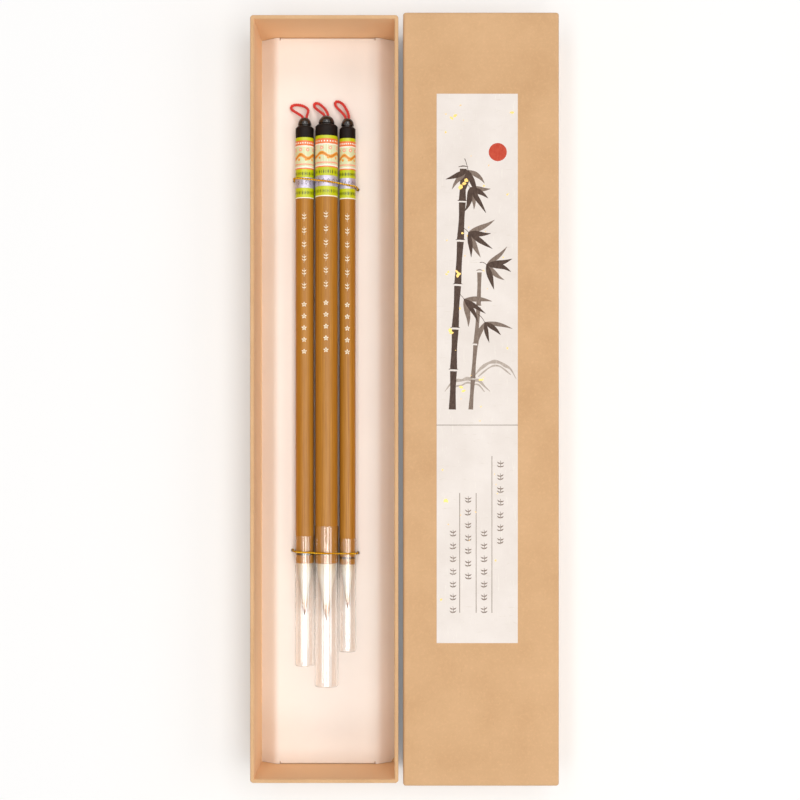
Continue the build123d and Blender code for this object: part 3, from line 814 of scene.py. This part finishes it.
def wire_tie(node, material):
    y, slant, left_room, right_room, tail = TIES[node]
    slant = radians(slant)
    low, high, _ = place_of(node)
    large, medium, small = BRUSHES["large"], BRUSHES["medium"], BRUSHES["small"]
    below = low.z + TIE_DIAMETER / 2

    def across(x):
        return (x - large.x) / cos(slant)

    def point(a, z):
        return Vector((large.x + a * cos(slant), y * MM + a * sin(slant), z))

    left = across(medium.x - left_room * MM)
    right = across(small.x + right_room * MM)
    worn = high.z - TIE_DIAMETER - large.z
    crowd = []
    for brush in (medium, large, small):
        reach = worn - large.radius + brush.radius + TIE_DIAMETER / 2
        for angle in map(radians, range(181)):
            a = across(brush.x) - reach / cos(slant) * cos(angle)
            crowd.append((a, brush.z + reach * sin(angle)))
    crowd += [(left, below), (right, below)]
    crowd = [p for p in crowd if left <= p[0] <= right]
    over = [point(a, z) for a, z in upper_hull(sorted(crowd))]
    middle = (left + right) / 2
    lay = Vector((0, tail * TIE_TAIL, 0))
    turn_left = point(middle - TIE_TAIL_PITCH / 2, below)
    turn_right = point(middle + TIE_TAIL_PITCH / 2, below)
    start = rounded([turn_left + lay, turn_left, over[0], over[1]], TIE_BEND)
    end = rounded([over[-2], over[-1], turn_right, turn_right + lay], TIE_BEND)
    path = start[:-1] + over[1:-1] + end[1:]
    shape = twisted(path, 2, TIE_DIAMETER / 4, TIE_DIAMETER / 4, TIE_PITCH)
    piece(f"{node}_wire", *shape, material, "platform", "gold_wire", (node,))


# ---- clear caps and hair ----
CAP_WALL = 0.22 * MM
CAP_END_ROUND = 1.0 * MM
CAP_EDGE = 0.05 * MM
CAP_RIM = 1.0 * MM
CAP_AXIS = (0.01 * MM, 0.08 * MM)  # rings by the axis, which keep the closed end flat
CAP_SIDES = 96


def quarter_turn(radius, end, bend, steps=8):
    """A cap's outline round its closed end, from its side towards its axis."""
    angles = [pi / 2 * step / steps for step in range(steps + 1)]
    middle = radius - bend
    return [(middle + bend * cos(a), end + bend - bend * sin(a)) for a in angles]


def clear_cap(brush, material):
    radius, mouth, end = brush.cap_radius, brush.cap_mouth, brush.cap_end
    inner, edge = radius - CAP_WALL, CAP_EDGE
    outline = [(radius, mouth - 2 * edge), (radius, mouth - CAP_RIM)]
    outline += quarter_turn(radius, end, CAP_END_ROUND)
    outline += [(reach, end) for reach in CAP_AXIS[::-1]]
    outline += [(reach, end + CAP_WALL) for reach in CAP_AXIS]
    outline += quarter_turn(inner, end + CAP_WALL, CAP_END_ROUND - CAP_WALL)[::-1]
    outline += [(inner, mouth - edge), (inner + edge, mouth), (radius - edge, mouth)]
    shape = revolved(brush, outline, CAP_SIDES)
    body, nodes = f"cap_{brush.name}", (f"brush_{brush.name}_cap",)
    piece(f"cap_{brush.name}_shell", *shape, material, body, "clear_plastic", nodes)


HAIR_STRANDS = 900
HAIR_SIDES = 4
HAIR_INSET = 1.2 * MM  # from the handle's outside to the outermost hairs
HAIR_ROOT = 0.5 * MM  # how deep the hairs start inside the handle
HAIR_SOFTNESS = 0.7
HAIR_LEVELS = (0.0, 0.08, 0.22, 0.4, 0.58, 0.74, 0.87, 1.0)


def tuft(share):
    """The tuft's width at a share of its length: a full belly, then a fine point."""
    belly = 1.0 + 0.12 * sin(pi * min(1.0, share / 0.45))
    taper = (1 - share) ** 0.62 if share > 0.35 else 1 - 0.235 * (share / 0.35) ** 1.6
    return belly * taper


def soften(mesh, brush):
    """Turns the strands' normals towards the tuft's own, so that it is lit as one soft body."""
    normals = []
    for vertex in mesh.vertices:
        out = Vector((vertex.co.x - brush.x, 0, vertex.co.z - brush.z))
        out = out.normalized() if out.length > 0.05 * MM else Vector((0, -1, 0))
        mixed = vertex.normal * (1 - HAIR_SOFTNESS) + out * HAIR_SOFTNESS + Vector((0, -0.12, 0))
        normals.append(mixed.normalized())
    mesh.normals_split_custom_set_from_vertices(normals)


def brush_tuft(brush, material):
    rng = random.Random(f"tuft {brush.name}")
    socket = brush.radius - HAIR_INSET
    length = HAIR_LENGTHS[brush.name] + HAIR_ROOT
    vertices, faces = [], []
    for index in range(HAIR_STRANDS):
        out = sqrt((index + 0.5) / HAIR_STRANDS)
        angle = index * pi * (3 - sqrt(5))
        last = 1 - (0.03 + 0.2 * out) * rng.random() - 0.02 * out
        sway = rng.uniform(-0.05, 0.05)
        lift = rng.uniform(-0.03, 0.03)
        thick = socket * 0.034 * rng.uniform(0.8, 1.25)
        first = len(vertices)
        for level in HAIR_LEVELS:
            share = level * last
            reach = socket * out * tuft(share) * (1 + lift * level)
            turned = angle + sway * level * 3
            x, z = brush.x + reach * cos(turned), brush.z + reach * sin(turned)
            centre = Vector((x, brush.end + HAIR_ROOT - share * length, z))
            width = thick * (1 - 0.82 * level)
            for corner in range(HAIR_SIDES):
                a = turned + 2 * pi * corner / HAIR_SIDES
                vertices.append(centre + Vector((cos(a), 0, sin(a))) * width)
        faces += tube(first, len(HAIR_LEVELS), HAIR_SIDES)
        faces.append(tuple(range(first, first + HAIR_SIDES)))
        faces.append(tuple(range(len(vertices) - HAIR_SIDES, len(vertices)))[::-1])
    body, nodes = f"brush_{brush.name}", (f"brush_{brush.name}_hair",)
    made = piece(f"tuft_{brush.name}", vertices, faces, material, body, "brush_hair", nodes)
    soften(made.data, brush)


# ---- flat work: label art and handle marks ----


def smooth_line(points, steps=6):
    """A Catmull-Rom line through points."""
    points = [Vector(p) for p in points]
    ends = [points[0] * 2 - points[1]] + points + [points[-1] * 2 - points[-2]]
    line = []
    for a, b, c, d in zip(ends, ends[1:], ends[2:], ends[3:]):
        for step in range(steps):
            t = step / steps
            curve = (a * 2 - b * 5 + c * 4 - d) * t * t + (b * 3 - a - c * 3 + d) * t**3
            line.append(((b * 2) + (c - a) * t + curve) / 2)
    return line + [points[-1]]


def stroke(points, widths, steps=6):
    """The outline of a brush stroke along points, with its width at each of them."""
    line = smooth_line([(x, y, w) for (x, y), w in zip(points, widths)], steps)
    left, right = [], []
    for index, place in enumerate(line):
        before, after = line[max(index - 1, 0)], line[min(index + 1, len(line) - 1)]
        along = Vector((after.x - before.x, after.y - before.y)).normalized()
        half = max(0.02, place.z / 2)
        left.append((place.x - along.y * half, place.y + along.x * half))
        right.append((place.x + along.y * half, place.y - along.x * half))
    return left + right[::-1]


def ray(angle, length=1.0):
    """How far that length goes across and up at an angle in degrees."""
    angle = radians(angle)
    return length * cos(angle), length * sin(angle)


def leaf(x, y, angle, length, width, bend):
    """A pointed leaf from (x, y) towards that angle in degrees."""
    along = ray(angle)
    aside = (-along[1], along[0])
    points = []
    for share, off in ((0.0, 0.0), (0.18, 0.3), (0.42, 0.8), (0.72, 0.9), (1.0, 0.4)):
        a, b = share * length, off * bend * length
        points.append((x + along[0] * a + aside[0] * b, y + along[1] * a + aside[1] * b))
    return stroke(points, [w * width for w in (0.12, 0.75, 1.0, 0.6, 0.05)], 4)


LIFT = 0.0005  # mm from one flat shape to the next, so that none share a level


def slabs(name, outlines, surface, thick, material, body, slot):
    """Thin flat shapes: surface turns a point (x, y, height) in mm into the piece's own space."""
    vertices, faces = [], []
    for index, outline in enumerate(outlines):
        count = len(outline)
        first = len(vertices)
        for height in (-0.02, thick + LIFT * index):
            vertices += [surface(x, y, height) for x, y in outline]
        top = first + count
        for k in range(count):
            following = (k + 1) % count
            faces.append((first + k, first + following, top + following, top + k))
        for k in range(count // 2 - 1):
            corners = (k, k + 1, count - 2 - k, count - 1 - k)
            faces.append(tuple(top + corner for corner in corners[::-1]))
            faces.append(tuple(first + corner for corner in corners))
    piece(name, vertices, faces, material, body, slot, smooth=False)


def round_spot(x, y, radius, corners=24):
    """A disc whose outline runs up one side and down the other, as a stroke's does."""
    places = []
    for k in range(corners // 2 + 1):
        a = pi * k / (corners // 2)
        places.append((x - radius * cos(a), radius * max(0.02, sin(a))))
    return [(x, y + rise) for x, rise in places] + [(x, y - rise) for x, rise in places[::-1]]


def label_art(papers):
    low, high, middle = place_of("lid_label")

    def surface(x, y, height):
        return (middle.x + x * MM, high.y - y * MM, high.z + height * MM)

    rng = random.Random("label art")
    dark, soft = [], []
    stalks = [
        [(-11.5, 146), (-10.6, 118), (-9.0, 88), (-7.2, 58), (-6.4, 34)],
        [(-3.0, 146), (-1.4, 124), (0.6, 98), (1.2, 74)],
    ]
    for points, width, shade in zip(stalks, (2.9, 1.9), (dark, soft)):
        line = smooth_line([(x, y, 0) for x, y in points], 12)
        joint = 8
        for start in range(0, len(line) - joint, joint):
            part = line[start : start + joint + 1]
            a, b, c = part[0], part[joint // 2], part[-1].lerp(part[-2], 0.35)
            widths = [width * 1.15, width * 0.9, width * 1.1]
            shade.append(stroke([(a.x, a.y), (b.x, b.y), (c.x, c.y)], widths))
            wide = width * 0.75
            knot = [(c.x - wide, c.y - 0.9), (c.x, c.y - 1.25), (c.x + wide, c.y - 0.9)]
            shade.append(stroke(knot, [0.25, 0.5, 0.2]))
    clusters = [(-6.6, 40, 18, 5), (-7.4, 62, -6, 5), (-9.4, 92, 10, 4)]
    clusters += [(1.2, 78, -24, 5), (0.4, 102, 22, 4), (-5.8, 30, 62, 5)]
    for x, y, lean, count in clusters:
        aside, up = ray(lean, 3.4)
        twig_x, twig_y = x + aside, y + 2.4 + up
        twig = [(x, y), ((x + twig_x) / 2, (y + twig_y) / 2 - 0.5), (twig_x, twig_y)]
        dark.append(stroke(twig, [0.35, 0.25, 0.2]))
        for k in range(count):
            angle = lean + 38 + (k - (count - 1) / 2) * 27 + rng.uniform(-6, 6)
            length, width = rng.uniform(9.0, 14.0), rng.uniform(1.9, 2.8)
            shade = dark if k % 3 else soft
            shade.append(leaf(twig_x, twig_y, angle, length, width, rng.uniform(-0.14, 0.14)))
    hills = []
    for base, reach, left, right in ((132, 7.5, -2.0, 18.0), (138, 5.0, -15.0, 6.0)):
        ridge = []
        for k in range(9):
            rise = reach * sin(pi * k / 8) ** 0.8 + rng.uniform(0, 1.6)
            ridge.append((left + (right - left) * k / 8, base - rise))
        widths = [0.2, 0.9, 1.6, 1.1, 1.8, 1.2, 1.5, 0.8, 0.2]
        hills.append(stroke(ridge, widths))
        lower = [(x, y + 2.2 + 0.5 * sin(k)) for k, (x, y) in enumerate(ridge)]
        hills.append(stroke(lower[1:-1], [w * 0.5 for w in widths[1:-1]]))
    half = (high.x - low.x) / MM / 2
    rules = [[(-half, 153.2), (half, 153.2)]]
    rules += [[(x, top), (x, 240.0)] for x, top in ((-8.1, 184.6), (-0.5, 184.6), (6.8, 167.5))]
    lines = []
    for a, b in rules:
        lines.append(stroke([a, ((a[0] + b[0]) / 2, (a[1] + b[1]) / 2), b], [0.3, 0.26, 0.3]))
    sprigs = []
    for x, top in ((-11.2, 201.6), (-4.2, 186.0), (3.2, 201.6), (10.7, 169.6)):
        for k in range(7):
            y = top + 5.9 * k
            stem = [(x, y), (x + 0.15, y + 1.7), (x - 0.1, y + 3.4)]
            sprigs.append(stroke(stem, [0.16, 0.26, 0.12]))
            for side in (-1, 1):
                for rise in (1.4, 2.9):
                    angle = -90 + side * rng.uniform(48, 66)
                    sprigs.append(leaf(x, y + rise, angle, 1.75, 0.55, side * 0.15))
    flakes = []
    for _ in range(46):
        x, y = rng.uniform(-17, 17), rng.uniform(2.0, 252.0)
        lean, size = rng.uniform(0, 180), rng.choice((0.5, 0.6, 0.8, 1.2, 1.9))
        for _ in range(rng.choice((1, 1, 2, 3))):
            a, b = x + rng.uniform(-1, 1) * size * 0.6, y + rng.uniform(-1, 1) * size * 0.6
            dx, dy = ray(lean, size * 0.5)
            widths = [0.2 * size, rng.uniform(0.5, 0.9) * size, 0.25 * size]
            torn = [(a - dx, b - dy), (a + rng.uniform(-0.2, 0.2), b), (a + dx, b + dy)]
            flakes.append(stroke(torn, widths, 3))
            lean += rng.uniform(30, 90)
    for name, outlines, thick, paper in (
        ("wash", hills, 0.012, "wash"),
        ("ink_soft", soft, 0.016, "soft"),
        ("ink_dark", dark, 0.02, "dark"),
        ("rules", lines, 0.02, "soft"),
        ("sprigs", sprigs, 0.016, "soft"),
        ("sun", [round_spot(9.5, 27.0, 4.2)], 0.014, "sun"),
        ("gold_flakes", flakes, 0.026, "gold"),
    ):
        slabs(f"label_{name}", outlines, surface, thick, papers[paper], "lid", "label_paper")


def handle_marks(brush, material):
    """A column of small painted sprigs and blossoms down the top of a handle."""

    def surface(x, y, height):
        radius = brush.radius + height * MM
        angle = x * MM / brush.radius
        return (brush.x + radius * sin(angle), y * MM, brush.z + radius * cos(angle))

    shapes = []
    top = brush.sleeve_low / MM - 9.0
    for k in range(6):
        y = top - 6.6 * k
        shapes.append(stroke([(0.0, y + 2.1), (0.12, y), (-0.05, y - 2.1)], [0.16, 0.22, 0.1]))
        for side in (-1, 1):
            for rise in (0.9, -0.5):
                shapes.append(leaf(0.0, y + rise - 0.4, 90 - side * 48, 1.35, 0.5, -side * 0.12))
    low = top - 6.6 * 6 - 2.0
    for k in range(5):
        y = low - 5.6 * k
        for petal in range(5):
            angle = 90 + 72 * petal
            x0, y0 = ray(angle, 0.28)
            shapes.append(leaf(x0, y + y0, angle, 1.05, 0.72, 0.0))
        shapes.append(round_spot(0.0, y, 0.2, 10))
    name, body = f"handle_marks_{brush.name}", f"brush_{brush.name}"
    slabs(name, shapes, surface, 0.03, material, body, "bamboo")


# ---- the set ----
KRAFT_TONES = {
    "tray": (colour(222, 182, 138), colour(208, 166, 122)),
    "lid": (colour(213, 173, 130), colour(200, 159, 116)),
    "lining": (colour(238, 206, 160), colour(224, 190, 144)),
    "base": (colour(196, 156, 112), colour(176, 136, 96)),
}
lining = kraft("lining_paper", *KRAFT_TONES["lining"], 71.0, 0.85)
board, tape = greyboard(), gummed_tape()
NODE_PAPERS = {
    # The tray's paper carries painted light: it is painted paler inside the rim.
    "tray_wrap": kraft("kraft_paper", *KRAFT_TONES["tray"], 0.0, wrapped="tray_wrap", lit_inside=True),
    "lid_wrap": kraft("kraft_paper_lid", *KRAFT_TONES["lid"], 37.0, wrapped="lid_wrap"),
    "tray_base_sheet": kraft("base_paper", *KRAFT_TONES["base"], 53.0, 0.85),
    "insert_card": platform_card(),
    "lid_label": label_paper(),
}
BOARDS = ("panel_board", "side_board_left", "side_board_right", "end_board_head", "end_board_foot")
for half in ("tray", "lid"):
    NODE_PAPERS.update({f"{half}_{part}": board for part in BOARDS})
    NODE_PAPERS[f"{half}_corner_stays"] = tape
    NODE_PAPERS[f"{half}_lining"] = lining
for node, paper in NODE_PAPERS.items():
    paint_node(node, paper)

BRUSH_LOOKS = {
    "handle": bamboo,
    "finial": dark_finial,
    "sleeve": sleeve_print,
    "foil_band": silver_foil,
}
cord_red, gold, plastic, paint = red_cord(), gold_wire(), clear_plastic(), handle_paint()
for brush in BRUSHES.values():
    for part, material_of in BRUSH_LOOKS.items():
        paint_node(f"brush_{brush.name}_{part}", material_of(brush))
    hanging_loop(brush, cord_red)
    brush_tuft(brush, brush_hair(brush))
    clear_cap(brush, plastic)
    handle_marks(brush, paint)
for node in TIES:
    wire_tie(node, gold)
label_papers = {
    "dark": ink("ink_dark", (62, 48, 42), (96, 78, 68)),
    "soft": ink("ink_soft", (112, 96, 86), (146, 130, 118)),
    "wash": ink("ink_wash", (168, 154, 144), (198, 188, 178)),
    "sun": ink("ink_sun", (186, 62, 44), (204, 88, 66)),
    "gold": gold_leaf(),
}
label_art(label_papers)


# ---- floor, light and camera ----


def studio_floor():
    look = Look("studio_floor", Roughness=0.9, Specular_IOR_Level=0.1)
    grain = look.drawn((0.02, 0.02, 0.02), 2.0, 0.5)
    look.base(grain, (0.94, 0.935, 0.93, 1), (0.96, 0.955, 0.95, 1))
    white = look.add("Emission")
    far = [
        look.between(look.math("ABSOLUTE", value), near, near + FLOOR_FADE)
        for value, near in zip(look.split(look.place()), FLOOR_NEAR)
    ]
    share = look.level(look.math("MAXIMUM", *far), FLOOR_WHITE, BACKDROP_WHITE)
    seen = look.times(look.add("LightPath").outputs["Is Camera Ray"], share)
    look.give_way(seen, white)
    half, low = FLOOR_HALF, cad_box[0][2] - FLOOR_DROP
    corners = [(-half, -half, low), (half, -half, low), (half, half, low), (-half, half, low)]
    floor = solid("studio_floor", corners, [(0, 1, 2, 3)], look.material)


def soft_light(name, place, size, power, tint):
    lamp = bpy.data.lights.new(name, "AREA")
    lamp.shape = "RECTANGLE"
    lamp.size, lamp.size_y = size
    lamp.energy = power
    lamp.color = tint
    back = Vector(place).normalized()
    across = Vector((0, 1, 0)).cross(back).normalized()
    turn = Matrix((across, back.cross(across), back)).transposed()
    made = linked(name, lamp)
    made.matrix_world = Matrix.Translation(place) @ turn.to_4x4()


def studio_world():
    """Soft light, and plain white where the camera, gloss or a clear piece shows it."""
    world = bpy.data.worlds.new("studio")
    world.use_nodes = True
    bpy.context.scene.world = world
    nodes = NodeTree(world.node_tree)
    nodes.tree.nodes.clear()
    rays = nodes.add("LightPath").outputs
    through = nodes.math("MAXIMUM", rays["Is Glossy Ray"], rays["Is Transmission Ray"])
    seen = nodes.math("MAXIMUM", rays["Is Camera Ray"], through)
    light = nodes.add("Background", {"Color": (1.0, 0.97, 0.93, 1.0), "Strength": WORLD_LIGHT})
    white = nodes.add("Background", {"Color": (1.0, 1.0, 1.0, 1.0)})
    mixed = nodes.add("MixShader", {0: seen, 1: light.outputs[0], 2: white.outputs[0]})
    nodes.add("OutputWorld", {"Surface": mixed.outputs[0]})


studio_floor()
studio_world()
for lamp_name, lamp_facts in LAMPS.items():
    soft_light(lamp_name, *lamp_facts)

camera = bpy.data.cameras.new("camera")
camera.sensor_width = SENSOR
camera.lens = FOCAL_PIXELS / IMAGE_SIZE * SENSOR
camera.shift_y = CAMERA_SHIFT_Y
camera.clip_start, camera.clip_end = CAMERA_CLIP
viewpoint = linked("camera", camera)
viewpoint.location = CAMERA_PLACE
bpy.context.scene.camera = viewpoint
bpy.context.scene.view_settings.view_transform = "Standard"
